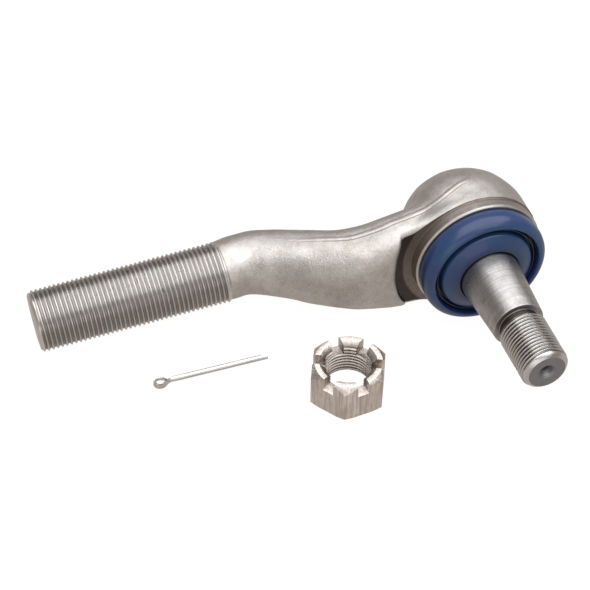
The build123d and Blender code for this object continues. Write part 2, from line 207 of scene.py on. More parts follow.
def mathTools(tree):  # add, subtract, multiply and divide in a node tree
    return [partial(mathStep, tree, name) for name in ("ADD", "SUBTRACT", "MULTIPLY", "DIVIDE")]


# shader groups shared by the finishes

def startGroup(name, **numbers):  # a group with a Vector and the given numbers as its inputs
    group = bpy.data.node_groups.new(name, "ShaderNodeTree")
    group.interface.new_socket("Vector", in_out="INPUT", socket_type="NodeSocketVector")
    for label, value in numbers.items():
        socket = group.interface.new_socket(label, in_out="INPUT", socket_type="NodeSocketFloat")
        socket.default_value = value
    return group, group.nodes.new("NodeGroupInput").outputs


def endGroup(group, **results):
    for label in results:
        group.interface.new_socket(label, in_out="OUTPUT", socket_type="NodeSocketFloat")
    output = group.nodes.new("NodeGroupOutput")
    for label, socket in results.items():
        group.links.new(socket, output.inputs[label])
    return group


def makeGrainGroup():  # fine pits and bright specks of a blasted or cast skin
    group, given = startGroup("Blasted Grain", Size=0.4, Specks=0.5)
    add, _, multiply, divide = mathTools(group)
    place, density = given["Vector"], divide(1, given["Size"])
    look = {"Vector": place, "Scale": density, "Detail": 3, "Roughness": 0.65}
    fine = addNode(group, "ShaderNodeTexNoise", look)
    look = {"Vector": place, "Scale": multiply(density, 0.31), "Detail": 2}
    coarse = addNode(group, "ShaderNodeTexNoise", look)
    pits = addNode(group, "ShaderNodeTexVoronoi", {"Vector": place, "Scale": multiply(density, 0.6)})
    height = add(fine.outputs["Fac"], multiply(pits.outputs["Distance"], 0.5))
    height = add(height, multiply(coarse.outputs["Fac"], 0.7))
    ends = {"Value": fine.outputs["Fac"], "From Min": 0.45, "From Max": 0.7, "To Max": given["Specks"]}
    specks = addNode(group, "ShaderNodeMapRange", ends)
    return endGroup(group, Height=height, Mask=specks.outputs["Result"])


def makeTurnedGroup():  # fine rings left by a lathe tool, across the given Z axis
    group, given = startGroup("Turned Lines", Spacing=0.3)
    add, _, multiply, divide = mathTools(group)
    x, y, z = addNode(group, "ShaderNodeSeparateXYZ", {"Vector": given["Vector"]}).outputs
    out = mathStep(group, "SQRT", add(multiply(x, x), multiply(y, y)))
    ends = {"X": divide(out, given["Spacing"]), "Z": divide(z, given["Spacing"])}
    across = addNode(group, "ShaderNodeCombineXYZ", ends).outputs[0]
    lines = addNode(group, "ShaderNodeTexNoise", {"Vector": across, "Scale": 1, "Detail": 2, "Roughness": 0.7})
    return endGroup(group, Height=lines.outputs["Fac"], Mask=lines.outputs["Fac"])


def makeHandlingGroup():  # broad cloudy change in tone and gloss from oil and handling
    group, given = startGroup("Handling Marks", Size=14.0, Contrast=1.0)
    add, subtract, multiply, divide = mathTools(group)
    look = {"Vector": given["Vector"], "Detail": 4, "Roughness": 0.6, "Scale": divide(1, given["Size"])}
    cloud = addNode(group, "ShaderNodeTexNoise", look)
    centred = subtract(cloud.outputs["Fac"], 0.5)
    return endGroup(group, Mask=add(multiply(centred, given["Contrast"]), 0.5))


def makeStreakGroup():  # long fine streaks of drawn or milled steel, along the given Z axis
    group, given = startGroup("Drawn Streaks", Spacing=0.5, Stretch=14.0)
    divide = mathTools(group)[3]
    x, y, z = addNode(group, "ShaderNodeSeparateXYZ", {"Vector": given["Vector"]}).outputs
    ends = {"X": x, "Y": y, "Z": divide(z, given["Stretch"])}
    drawn = addNode(group, "ShaderNodeCombineXYZ", ends).outputs[0]
    look = {"Vector": drawn, "Detail": 3, "Roughness": 0.65, "Scale": divide(1, given["Spacing"])}
    return endGroup(group, Mask=addNode(group, "ShaderNodeTexNoise", look).outputs["Fac"])


grainGroup = makeGrainGroup()
streakGroup = makeStreakGroup()
turnedGroup = makeTurnedGroup()
handlingGroup = makeHandlingGroup()


class Finish:  # a material under construction, with its coordinates in millimetres
    def __init__(self, name, centre=(0, 0, 0), turn=(0, 0, 0)):
        self.material = bpy.data.materials.new(name)
        self.material.use_nodes = True
        self.tree = self.material.node_tree
        self.tree.nodes.clear()
        self.shader = self.tree.nodes.new("ShaderNodeBsdfPrincipled")
        output = self.tree.nodes.new("ShaderNodeOutputMaterial")
        self.tree.links.new(self.shader.outputs[0], output.inputs["Surface"])
        coordinates = self.tree.nodes.new("ShaderNodeTexCoord")
        own = {"Vector": coordinates.outputs["Object"], "Location": Vector(centre) * mm, "Rotation": turn}
        mapping = addNode(self.tree, "ShaderNodeMapping", own, vector_type="TEXTURE")
        scaled = addNode(self.tree, "ShaderNodeVectorMath", {0: mapping.outputs[0], "Scale": 1 / mm},
                         operation="SCALE")
        self.place = scaled.outputs[0]

    def group(self, tree, **values):
        node = self.tree.nodes.new("ShaderNodeGroup")
        node.node_tree = tree
        self.tree.links.new(self.place, node.inputs["Vector"])
        for name, value in values.items():
            node.inputs[name.capitalize()].default_value = value
        return node.outputs

    def mask(self, value, low, high, toLow=0.0, toHigh=1.0):
        return addNode(self.tree, "ShaderNodeMapRange",
                       {"Value": value, "From Min": low, "From Max": high, "To Min": toLow, "To Max": toHigh}
                       ).outputs["Result"]

    def tone(self, share, dark, light):
        mix = addNode(self.tree, "ShaderNodeMix", data_type="RGBA")
        factor, first, second = mix.inputs[0], mix.inputs[6], mix.inputs[7]
        self.tree.links.new(share, factor)
        for socket, value in ((first, dark), (second, light)):
            if isinstance(value, bpy.types.NodeSocket):
                self.tree.links.new(value, socket)
            else:
                socket.default_value = (*value, 1)
        return mix.outputs[2]

    def hollowShade(self, colour, shade, oil):  # painted shade: darkens the colour towards a near-black shade colour in thread roots and other hollows, as the point attribute marks them
        depth = addNode(self.tree, "ShaderNodeAttribute", attribute_name="hollowShade").outputs["Fac"]
        return self.tone(self.mask(depth, 0.05, 1, 0, shade), colour, oil)

    def bump(self, height, distance, strength=1.0, under=None):
        values = {"Height": height, "Distance": distance * mm, "Strength": strength}
        if under is not None:
            values["Normal"] = under
        return addNode(self.tree, "ShaderNodeBump", values).outputs[0]

    def set(self, **values):
        for name, value in values.items():
            words = "".join(" " + letter if letter.isupper() else letter for letter in name).strip()
            label = " ".join(word.capitalize() for word in words.split()).replace("Ior", "IOR")
            socket = self.shader.inputs[label]
            if isinstance(value, bpy.types.NodeSocket):
                self.tree.links.new(value, socket)
            else:
                socket.default_value = (*value, 1) if isinstance(value, tuple) else value
        return self.material


# finishes

flash = {  # trimmed parting line along the top of the forging
    "halfWidth": 1.05,
    "height": 0.38,
    "edge": 0.5,
    "lineWidth": 0.5,
    "lineShade": 0.85,
    "offset": 1.0,  # behind the arm's middle
    "climb": 4.5,  # further back, over the head
    "climbSpan": (-16, 3),
    "fadeIn": (-92, -58),
    "fadeOut": (-4, 3),
}
steelTones = {  # dark and light tone of each finish
    "forgedSteel": ((0.42, 0.395, 0.37), (0.74, 0.735, 0.72)),
    # the machined pocket's dark brown tones are painted shade of the deep pocket
    "shadedPocketSteel": ((0.20, 0.165, 0.15), (0.34, 0.29, 0.265)),
    "shadedPocketWall": ((0.035, 0.033, 0.035), (0.075, 0.07, 0.07)),
    "threadSteel": ((0.62, 0.59, 0.56), (0.93, 0.93, 0.925)),
    "studSteel": ((0.30, 0.295, 0.295), (0.68, 0.675, 0.675)),
    "studThreadSteel": ((0.56, 0.55, 0.54), (0.92, 0.92, 0.92)),
    "endSteel": ((0.27, 0.27, 0.285), (0.38, 0.38, 0.395)),
    "retainerSteel": ((0.30, 0.27, 0.25), (0.54, 0.51, 0.485)),
    "retainerRimHighlight": ((0.52, 0.50, 0.485), (0.74, 0.73, 0.715)),
    "nutSteel": ((0.58, 0.51, 0.46), (0.95, 0.90, 0.85)),
    "pinSteel": ((0.62, 0.61, 0.60), (0.88, 0.88, 0.87)),
    "zincSteel": ((0.55, 0.54, 0.50), (0.80, 0.79, 0.76)),
    "springSteel": ((0.18, 0.18, 0.19), (0.34, 0.34, 0.35)),
}
steelExtras = {
    # colour of the painted shade line at the flash's foot
    "flashFoot": (0.20, 0.17, 0.155),
    "rust": (0.44, 0.365, 0.32),
    "speck": (0.84, 0.84, 0.82),
    # near-black colour of the painted shade in hollows
    "oil": (0.055, 0.044, 0.038),
}
polymerTones = {
    "bootUrethane": ((0.013, 0.036, 0.130), (0.020, 0.058, 0.185)),
    "bootTeal": (0.012, 0.085, 0.150),
    "bootSpeck": (0.10, 0.14, 0.26),
    "bootShade": (0.004, 0.006, 0.02),
    "sealRubber": ((0.012, 0.012, 0.012), (0.03, 0.03, 0.03)),
    "bearingAcetal": ((0.66, 0.63, 0.54), (0.80, 0.78, 0.70)),
}


def forgedSteel():
    finish = Finish("forgedSteel")
    grain = finish.group(grainGroup, size=0.42, specks=1.0)
    cloud = finish.group(handlingGroup, size=15, contrast=1.7)
    patches = finish.group(handlingGroup, size=3.2, contrast=2.2)
    base = finish.tone(cloud["Mask"], *steelTones["forgedSteel"])
    base = finish.tone(finish.mask(patches["Mask"], 0.45, 1.0, 0, 0.6), base, steelExtras["rust"])
    colour = finish.tone(finish.mask(grain["Mask"], 0, 1, 0, 0.7), base, steelExtras["speck"])
    # painted shade: a dark line along the front foot of the trimmed flash, where the ridge meets the arm
    off = addNode(finish.tree, "ShaderNodeAttribute", attribute_name="flashOffset").outputs["Fac"]
    shown = addNode(finish.tree, "ShaderNodeAttribute", attribute_name="flashShown").outputs["Fac"]
    foot = flash["halfWidth"] + flash["edge"] / 2
    line = mathStep(finish.tree, "ABSOLUTE", mathStep(finish.tree, "ADD", off, foot))
    dark = finish.mask(line, 0.1, flash["lineWidth"], flash["lineShade"], 0)
    colour = finish.tone(mathStep(finish.tree, "MULTIPLY", shown, dark), colour, steelExtras["flashFoot"])
    return finish.set(baseColor=colour, metallic=1.0, roughness=finish.mask(cloud["Mask"], 0, 1, 0.50, 0.40),
                      normal=finish.bump(grain["Height"], 0.11))


def turnedSteel(name, rough, spacing=0.3, depth=0.012, centre=(0, 0, 0), turn=(math.pi / 2, 0, 0),
                mottle=0.5, grainDepth=0.03, shade=0.0):
    finish = Finish(name, centre, turn)
    dark, light = steelTones[name]
    lines = finish.group(turnedGroup, spacing=spacing)
    cloud = finish.group(handlingGroup, size=4, contrast=2.2)
    grain = finish.group(grainGroup, size=0.35, specks=0.6)
    base = finish.tone(finish.mask(lines["Mask"], 0.3, 0.7), dark, light)
    base = finish.tone(finish.mask(cloud["Mask"], 0.4, 1.0, 0, mottle), base, dark)
    colour = finish.tone(finish.mask(grain["Mask"], 0, 1, 0, 0.6), base, light)
    if shade:
        colour = finish.hollowShade(colour, shade, steelExtras["oil"])
    normal = finish.bump(lines["Height"], depth)
    normal = finish.bump(grain["Height"], grainDepth, 1.0, normal)
    gloss = finish.mask(cloud["Mask"], 0, 1, rough * 0.8, rough * 1.25)
    return finish.set(baseColor=colour, metallic=1.0, roughness=gloss, normal=normal)


def milledSteel(name, rough, spacing, centre=(0, 0, 0), turn=(0, 0, 0), shade=0.0):
    finish = Finish(name, centre, turn)
    dark, light = steelTones[name]
    streaks = finish.group(streakGroup, spacing=spacing)
    cloud = finish.group(handlingGroup, size=5, contrast=2.0)
    grain = finish.group(grainGroup, size=0.3, specks=0.5)
    base = finish.tone(finish.mask(streaks["Mask"], 0.35, 0.65), dark, light)
    base = finish.tone(finish.mask(cloud["Mask"], 0.45, 1.0, 0, 0.5), base, dark)
    colour = finish.tone(finish.mask(grain["Mask"], 0, 1, 0, 0.5), base, light)
    if shade:
        colour = finish.hollowShade(colour, shade, steelExtras["oil"])
    normal = finish.bump(streaks["Mask"], 0.02)
    normal = finish.bump(grain["Height"], 0.02, 1.0, normal)
    gloss = finish.mask(streaks["Mask"], 0.3, 0.7, rough * 0.85, rough * 1.2)
    return finish.set(baseColor=colour, metallic=1.0, roughness=gloss, normal=normal)


def bootUrethane():
    finish = Finish("bootUrethane")
    cloud = finish.group(handlingGroup, size=12, contrast=1.4)
    grain = finish.group(grainGroup, size=0.5, specks=0.4)
    patches = finish.group(handlingGroup, size=26, contrast=2.4)
    colour = finish.tone(cloud["Mask"], *polymerTones["bootUrethane"])
    # teal patches, placed at random, paint in the teal sheen of reflected light on the boot
    colour = finish.tone(finish.mask(patches["Mask"], 0.4, 1, 0, 0.6), colour, polymerTones["bootTeal"])
    colour = finish.tone(finish.mask(grain["Mask"], 0, 1, 0, 0.12), colour, polymerTones["bootSpeck"])
    colour = finish.hollowShade(colour, 0.85, polymerTones["bootShade"])
    return finish.set(baseColor=colour, roughness=finish.mask(cloud["Mask"], 0, 1, 0.46, 0.34), coatWeight=0.4,
                      coatRoughness=0.12, specularIorLevel=0.5, normal=finish.bump(grain["Height"], 0.012))


def plainPolymer(name, rough):
    finish = Finish(name)
    cloud = finish.group(handlingGroup, size=8, contrast=1.2)
    grain = finish.group(grainGroup, size=0.6, specks=0.3)
    colour = finish.tone(cloud["Mask"], *polymerTones[name])
    return finish.set(baseColor=colour, roughness=finish.mask(cloud["Mask"], 0, 1, rough * 1.15, rough * 0.85),
                      normal=finish.bump(grain["Height"], 0.02))


shankEnd = Vector(mounts["shank_face"]["pos_m"]) / mm
shankAxis = -Vector(mounts["shank_thread"]["axis"])
shankTurn = shankAxis.to_track_quat("Z", "Y").to_euler()
nutLow, nutHigh = boxOf("slotted_nut")
nutThread = mounts["nut_thread"]
nutCentre = Vector(nutThread["pos_m"]) / mm

pinTurn = (math.pi / 2, 0, math.pi / 2)
forged = forgedSteel()
# machined surfaces, painted dark brown as shade in the pocket, with more painted shade in its hollows
shadedPocketSteel = turnedSteel("shadedPocketSteel", 0.5, 0.5, shade=0.85)
# near-black finish of the pocket's wall: painted shade
shadedPocketWall = turnedSteel("shadedPocketWall", 0.6, 0.5)
threadSteel = turnedSteel("threadSteel", 0.3, centre=shankEnd, turn=shankTurn, mottle=0.6, shade=0.62)
studSteel = turnedSteel("studSteel", 0.32, 0.4, 0.003, mottle=0.8, grainDepth=0.08, shade=0.95)
studThreadSteel = turnedSteel("studThreadSteel", 0.24, mottle=0.35, shade=0.85)
endSteel = turnedSteel("endSteel", 0.6, 0.25, mottle=0.3)
retainerSteel = turnedSteel("retainerSteel", 0.42, 0.6)
# lighter copy of the retainer's steel for its front chamfer: a painted highlight
retainerRimHighlight = turnedSteel("retainerRimHighlight", 0.4, 0.6, mottle=0.4)
nutSteel = milledSteel("nutSteel", 0.38, 1.1, centre=nutCentre, shade=0.9)
pinSteel = milledSteel("pinSteel", 0.24, 0.8, turn=pinTurn)
zincSteel = turnedSteel("zincSteel", 0.28, 0.4, 0.008)
springSteel = turnedSteel("springSteel", 0.35, 0.4)
bootBlue = bootUrethane()
sealBlack = plainPolymer("sealRubber", 0.5)
bearingAcetal = plainPolymer("bearingAcetal", 0.4)
print("finishes made")


# screw thread, made by Geometry Nodes for the shank, the stud and the nut's tap

threadPoints = 9  # across one pitch


def makeThreadTree():
    tree = bpy.data.node_groups.new("Screw Thread", "GeometryNodeTree")
    kinds = {"Segments": "Int", "Material": "Material"}
    for name in ("Crest Radius", "Depth", "Pitch", "Length", "Nose Depth", "Nose Length", "Nose Curve", "Tail",
                 "Run Out", "Segments", "Material"):
        kind = kinds.get(name, "Float")
        tree.interface.new_socket(name, in_out="INPUT", socket_type="NodeSocket" + kind)
    tree.interface.new_socket("Geometry", in_out="OUTPUT", socket_type="NodeSocketGeometry")
    given = tree.nodes.new("NodeGroupInput").outputs
    crestRadius, depth, pitch, length, noseDepth, noseLength, noseCurve = given[:7]
    tail, runOut, segments, material = given[7:11]
    add, subtract, multiply, divide = mathTools(tree)
    larger, smaller = partial(mathStep, tree, "MAXIMUM"), partial(mathStep, tree, "MINIMUM")

    def ramp(value, fromMin=0, fromMax=1, toMin=0, toMax=1):
        ends = {"Value": value, "From Min": fromMin, "From Max": fromMax, "To Min": toMin, "To Max": toMax}
        return addNode(tree, "ShaderNodeMapRange", ends).outputs["Result"]

    turns = add(divide(length, pitch), 4)
    rows = mathStep(tree, "CEIL", multiply(turns, segments))
    grid = addNode(tree, "GeometryNodeMeshGrid", {"Vertices X": rows, "Vertices Y": threadPoints})
    index = tree.nodes.new("GeometryNodeInputIndex").outputs[0]
    row = mathStep(tree, "FLOOR", divide(add(index, 0.5), threadPoints))
    column = subtract(index, multiply(row, threadPoints))
    turn = divide(row, segments)
    # distance from the groove's middle, bunched so that points fall on the crest's and the root's edges
    fromMiddle = subtract(divide(column, threadPoints - 1), 0.5)
    spread = multiply(mathStep(tree, "ABSOLUTE", fromMiddle), 2)
    flank = add(spread, multiply(larger(subtract(spread, 0.25), 0), 0.25))
    crest = add(multiply(spread, 0.5), 0.5)
    off = smaller(flank, crest)
    share = add(multiply(multiply(off, 0.5), mathStep(tree, "SIGN", fromMiddle)), 0.5)
    along = multiply(add(subtract(turn, 2), share), pitch)
    axial = smaller(larger(along, 0), length)
    fromTail = subtract(length, axial)
    rise = ramp(off, fromMin=0.25, fromMax=0.875)
    fade = ramp(fromTail, fromMax=runOut)
    groove = multiply(multiply(subtract(1, rise), depth), fade)
    radius = subtract(crestRadius, groove)
    nose = ramp(axial, fromMax=noseLength, toMin=1, toMax=0)
    noseCut = multiply(mathStep(tree, "POWER", nose, noseCurve), noseDepth)
    radius = smaller(radius, subtract(crestRadius, noseCut))
    tailCut = larger(subtract(tail, fromTail), 0)
    radius = smaller(radius, subtract(crestRadius, tailCut))
    # past either end the skin runs in to the axis, which closes the ends
    beyond = larger(multiply(along, -1), subtract(along, length))
    closing = ramp(beyond, fromMax=pitch, toMin=1, toMax=0)
    radius = multiply(radius, closing)
    angle = multiply(turn, 2 * math.pi)
    position = addNode(tree, "ShaderNodeCombineXYZ", {
        "X": multiply(radius, mathStep(tree, "COSINE", angle)),
        "Y": multiply(radius, mathStep(tree, "SINE", angle)), "Z": axial}).outputs[0]
    placed = addNode(tree, "GeometryNodeSetPosition", {"Geometry": grid.outputs["Mesh"], "Position": position})
    welded = addNode(tree, "GeometryNodeMergeByDistance",
                     {"Geometry": placed.outputs[0], "Distance": weld * mm})
    real = addNode(tree, "GeometryNodeRealizeInstances", {"Geometry": welded.outputs[0]})
    painted = addNode(tree, "GeometryNodeSetMaterial", {"Geometry": real.outputs[0], "Material": material})
    output = tree.nodes.new("NodeGroupOutput")
    tree.links.new(painted.outputs[0], output.inputs[0])
    return tree


threadTree = makeThreadTree()


def screwThread(name, sizes, place, finish):
    piece = meshObject(name, [], [])
    modifier = piece.modifiers.new("thread", "NODES")
    modifier.node_group = threadTree
    sockets = threadTree.interface.items_tree
    identifiers = {item.name: item.identifier for item in sockets if item.in_out == "INPUT"}
    for label, value in sizes.items():
        modifier[identifiers[label]] = value if label in ("Segments", "Nose Curve") else value * mm
    modifier[identifiers["Material"]] = finish
    bakeModifiers(piece)
    piece.data.transform(Matrix.Scale(1 / mm, 4))
    piece.data.transform(place)
    piece.data.transform(Matrix.Scale(mm, 4))
    return tidyMesh(piece)


def threadDepth(pitch):  # unified thread form: five eighths of the sharp height
    return pitch * math.sqrt(3) / 2 * 5 / 8


# housing: forged arm and head, machined socket side, threaded shank

housingLow, housingHigh = boxOf("housing")
forging = {
    "headRadius": housingHigh.z,
    "bossRadius": 30.3,
    "bossFace": -boxOf("retainer_ring")[1].y,  # front of the boss, measured towards the stud
    "pocketRadius": 40.2,
    "pocketFloor": 9.5,  # just behind the boss's face
    "pocketShadow": 5.0,  # width of the ring of painted shade on the pocket's floor, along its wall
    "pocketEdge": 2.6,  # size of the pocket's worn edge
    "edgeStock": 0.35,  # left on the pocket's worn shape for the cutter to take off
    "edgeStart": 33,  # the worn edge keeps this far from the ball's axis
    "edgeSpan": (31.5, 36),
    "backBlend": 3.0,  # size of the soft corner between arm and dome, behind
    "frontBlend": 8.5,  # and of the web in front
    "cell": 0.66,
    "waviness": 0.07,
}
# arm, from the shank to the head: X, middle Y, half width, half height, squareness
armStations = np.array([
    (-113, 23.9, 13.2, 13.4, 2.0),
    (-107, 24.0, 14.1, 14.0, 2.0),
    (-100, 23.8, 14.1, 13.8, 2.1),
    (-92, 21.2, 15.2, 14.6, 2.2),
    (-84, 16.8, 16.1, 15.0, 2.3),
    (-76, 11.7, 16.7, 15.9, 2.4),
    (-68, 7.0, 16.2, 17.2, 2.5),
    (-57, 1.1, 15.0, 18.9, 2.7),
    (-47, -1.2, 13.8, 20.9, 2.9),
    (-38, -2.2, 13.2, 23.2, 3.0),
    (-11, -1.5, 13.6, 25.2, 3.0),
])
inch = 25.4
shankPitch = inch / 12
shankChamfers = 3.2  # the thread's two chamfered ends, which its mount leaves out
shankThread = {
    "Crest Radius": mounts["shank_thread"]["dims"]["r_mm"],
    "Pitch": shankPitch,
    "Depth": 0.85 * threadDepth(shankPitch),  # rolled shallow
    "Length": mounts["shank_thread"]["dims"]["length_mm"] + shankChamfers,
    "Nose Depth": 1.6,
    "Nose Length": 1.5,
    "Nose Curve": 1.0,
    "Tail": 1.6,
    "Run Out": 3.0,
    "Segments": 72,
}


def throughStations(x, values):  # smooth curve through the arm's stations
    knots = armStations[:, 0]
    slopes = np.gradient(values, knots)
    i = np.clip(np.searchsorted(knots, x) - 1, 0, len(knots) - 2)
    span = knots[i + 1] - knots[i]
    t = np.clip((x - knots[i]) / span, 0, 1)
    rising = t * t * (3 - 2 * t)
    return (values[i] * (1 - rising) + values[i + 1] * rising
            + span * (slopes[i] * t * (1 - t) ** 2 - slopes[i + 1] * t * t * (1 - t)))


def armLevel(x, y, z):  # 0 on the arm's skin, -1 on its middle line
    middle, halfWidth, halfHeight, square = (throughStations(x, armStations[:, i]) for i in range(1, 5))
    lift = shankEnd.z + (x - shankEnd.x) * shankAxis.z / shankAxis.x
    across = np.abs(y - middle) / halfWidth
    upward = np.abs(z - lift) / halfHeight
    return (across ** square + upward ** square) ** (1 / square) - 1


def armDistance(x, y, z, gap=0.05):
    level = armLevel(x, y, z)
    slope = (armLevel(x + gap, y, z) - level) ** 2
    slope = slope + (armLevel(x, y + gap, z) - level) ** 2 + (armLevel(x, y, z + gap) - level) ** 2
    distance = level * gap / np.sqrt(np.maximum(slope, 1e-7))
    start, end = armStations[0, 0], armStations[-1, 0]
    return np.maximum(np.maximum(distance, x - end), start - x)


def smoothUnion(a, b, size):
    share = np.clip(0.5 + 0.5 * (b - a) / size, 0, 1)
    return b * (1 - share) + a * share - size * share * (1 - share)


def smoothStep(value, low, high):
    t = np.clip((value - low) / (high - low), 0, 1)
    return t * t * (3 - 2 * t)


def flashLine(x):  # parting line along the arm, which climbs over the head
    middle = throughStations(x, armStations[:, 1])
    return middle + flash["offset"] + flash["climb"] * smoothStep(x, *flash["climbSpan"])


def flashFade(x):  # 1 where the flash stands in full, 0 past its ends
    return smoothStep(x, *flash["fadeIn"]) * (1 - smoothStep(x, *flash["fadeOut"]))


def forgingDistance(x, y, z):
    radial = np.sqrt(x * x + z * z)
    head = np.where(y > 0, np.sqrt(radial ** 2 + y ** 2), radial) - forging["headRadius"]
    head = np.maximum(head, -y - forging["bossFace"] - 2)
    blend = forging["backBlend"] + (forging["frontBlend"] - forging["backBlend"]) * smoothStep(-y, 1, 9)
    body = smoothUnion(armDistance(x, y, z), head, blend)
    stock = forging["edgeStock"]
    cut = np.maximum(radial - forging["pocketRadius"] + stock, y + forging["pocketFloor"] + stock)
    cut = np.maximum(cut, forging["edgeStart"] - radial)
    worn = 0.2 + forging["pocketEdge"] * smoothStep(radial, *forging["edgeSpan"])
    body = -smoothUnion(-body, cut, worn)
    off = np.abs(y - flashLine(x)) - flash["halfWidth"]
    ridge = 1 - smoothStep(off, -flash["edge"] / 2, flash["edge"] / 2)
    ridge = ridge * flashFade(x) * (z > 0)
    waves = np.sin(0.55 * x + 0.31 * y) * np.sin(0.43 * z - 0.2 * x + 1) + np.sin(0.37 * y + 0.29 * z + 2)
    return body - flash["height"] * ridge - forging["waviness"] * waves


def surfaceNet(distance, low, high, cell):  # skin of a distance field, one point in each crossed cell
    axes = [np.arange(low[i], high[i] + cell, cell) for i in range(3)]
    field = distance(axes[0][:, None, None], axes[1][None, :, None], axes[2][None, None, :])
    inside = field < 0
    counts = np.array(field.shape) - 1

    def corner(array, offset):
        return array[tuple(slice(offset[i], offset[i] + counts[i]) for i in range(3))]

    corners = [(i, j, k) for i in (0, 1) for j in (0, 1) for k in (0, 1)]
    total = sum(corner(inside, offset).astype(np.int8) for offset in corners)
    cells = np.argwhere((total > 0) & (total < 8))
    number = np.full(counts, -1)
    number[tuple(cells.T)] = np.arange(len(cells))
    places = np.zeros((len(cells), 3))
    crossings = np.zeros(len(cells))
    for first in corners:
        for axis in range(3):
            if first[axis]:
                continue
            second = tuple(first[i] + (i == axis) for i in range(3))
            a = field[tuple((cells + first).T)]
            b = field[tuple((cells + second).T)]
            crossed = (a < 0) != (b < 0)
            share = np.where(crossed, a / np.where(crossed, a - b, 1), 0)
            step = np.array(first) + share[:, None] * (np.array(second) - first)
            places += step * crossed[:, None]
            crossings += crossed
    points = low + cell * (cells + places / crossings[:, None])
    faces = []
    for axis in range(3):
        others = [i for i in range(3) if i != axis]
        ahead = [slice(None)] * 3
        behind = [slice(None)] * 3
        ahead[axis] = slice(1, None)
        behind[axis] = slice(None, -1)
        edges = np.argwhere(inside[tuple(ahead)] != inside[tuple(behind)])
        ring = []
        for p, q in ((0, 0), (1, 0), (1, 1), (0, 1)):
            shifted = edges.copy()
            shifted[:, others[0]] -= p
            shifted[:, others[1]] -= q
            ring.append(number[tuple(shifted.T)])
        faces.append(np.stack(ring, axis=1))
    return points, np.concatenate(faces)


def settleOn(points, distance, rounds=3, gap=0.02):  # pulls each point onto the exact skin
    for _ in range(rounds):
        x, y, z = points.T
        value = distance(x, y, z)
        slope = np.stack([distance(x + gap, y, z) - value, distance(x, y + gap, z) - value,
                          distance(x, y, z + gap) - value], axis=1) / gap
        pull = np.clip(value / np.maximum((slope ** 2).sum(axis=1), 0.2), -0.4, 0.4)
        points = points - pull[:, None] * slope
    return points


socket = {  # machined from the boss's face: radii, and depths measured towards the stud
    "sealInner": 24,
    "sealOuter": 26,
    "sealDepth": 1.6,
    "boreRadius": 22,
    "boreEnd": -13,
    "shelfRadius": 13.5,
    "shelf": -20.9,
    "springBoreRadius": 10.2,
    "springBoreEnd": -25,
    "fittingRadius": 3.2,
    "spotFaceRadius": 6.4,
    "spotFace": -30,
}
pocketCorner = 1.2  # rounding where the pocket's wall meets its floor, and fade of the painted shade ring


def makeHousing():
    margin = 3.0
    low = np.array((armStations[0, 0] - margin, housingLow.y - margin, housingLow.z - margin))
    high = np.array((housingHigh.x + margin, housingHigh.y + margin, housingHigh.z + margin))
    points, faces = surfaceNet(forgingDistance, low, high, forging["cell"])
    points = settleOn(points, forgingDistance)
    housing = meshObject("forgedHousing", points, faces)
    housing.data.materials.append(forged)
    tidyMesh(housing, 60)
    # one turned cutter: front face, pocket beside the boss, seal groove, socket, spring bore and fitting hole
    boss, face = forging["bossRadius"], forging["bossFace"]
    pocket, floor, shadow = forging["pocketRadius"], forging["pocketFloor"], forging["pocketShadow"]
    groove, shelf = face - socket["sealDepth"], socket["shelf"]
    spring, spot = socket["springBoreEnd"], socket["spotFace"]
    outline = [
        (0, 60), (pocket, 60), (pocket, floor, pocketCorner), (pocket - shadow, floor),
        (pocket - shadow - pocketCorner, floor), (boss + 0.01, floor, 0.8), (boss, face, 0.3)]
    for radius, start, end, softness in (
            ("sealOuter", face, groove, 0), ("sealInner", groove, face, 0),
            ("boreRadius", face, socket["boreEnd"], 0.3), ("springBoreRadius", shelf, spring, 0),
            ("fittingRadius", spring, spot, 0), ("spotFaceRadius", spot, -36, 0.3)):
        outline += [(socket[radius], start, softness), (socket[radius], end)]
        if radius == "boreRadius":
            outline.append((socket["shelfRadius"], shelf))
    cutter = lathe("machining", [*outline, (0, -36)], axisFrame((0, 0, 0), (0, -1, 0)), segments=160)
    # every cut surface takes the dark brown finish of painted pocket shade
    cutter.data.materials.append(shadedPocketSteel)
    tidyMesh(cutter)
    combine(housing, cutter, "DIFFERENCE")
    housing.data.materials.append(shadedPocketWall)
    for polygon in housing.data.polygons:  # the pocket's wall gets the near-black finish, painted shade
        out = math.hypot(polygon.center.x, polygon.center.z) / mm
        if polygon.material_index == 1 and out > pocket - 1.3 and abs(polygon.normal.y) < 0.9:
            polygon.material_index = 2
    thread = screwThread("shankThread", shankThread, axisFrame(shankEnd, shankAxis), threadSteel)
    combine(housing, thread, "UNION")
    tidyMesh(housing, 32)
    x, y, z = pointsOf(housing).T
    addAttribute(housing, "flashOffset", y - flashLine(x))
    addAttribute(housing, "flashShown", flashFade(x) * (z > 0))
    bright = shankThread["Nose Depth"] + 0.1  # the chamfered ends get no painted shade
    # painted shade in the roots of the shank's thread
    roots = threadRootShade(housing, shankEnd, shankAxis, shankThread, bright, shankThread["Length"] - bright)
    # painted shade on the pocket's floor, darker towards its wall, near the head only
    corner = np.clip((np.hypot(x, z) - pocket + shadow) / pocketCorner + 1, 0, 1)
    nearHead = x > -pocket - 10
    addAttribute(housing, "hollowShade", np.maximum(roots, corner * nearHead))
    return housing


housing = makeHousing()
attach(housing, "root")
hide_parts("housing")
print("housing made:", len(housing.data.polygons), "faces")


# retainer ring

retainer = {
    "outerRadius": 30.3,
    "openingRadius": 17.8,
    "back": forging["bossFace"] + 0.12,
    "front": -boxOf("retainer_ring")[0].y,
    "rim": 0.8,  # chamfer round the front, given a lighter finish as a painted highlight
    "lines": 210,  # fine lines pressed across the rim
    "lineDepth": 0.09,
}
studAxis = axisFrame((0, 0, 0), (0, -1, 0))


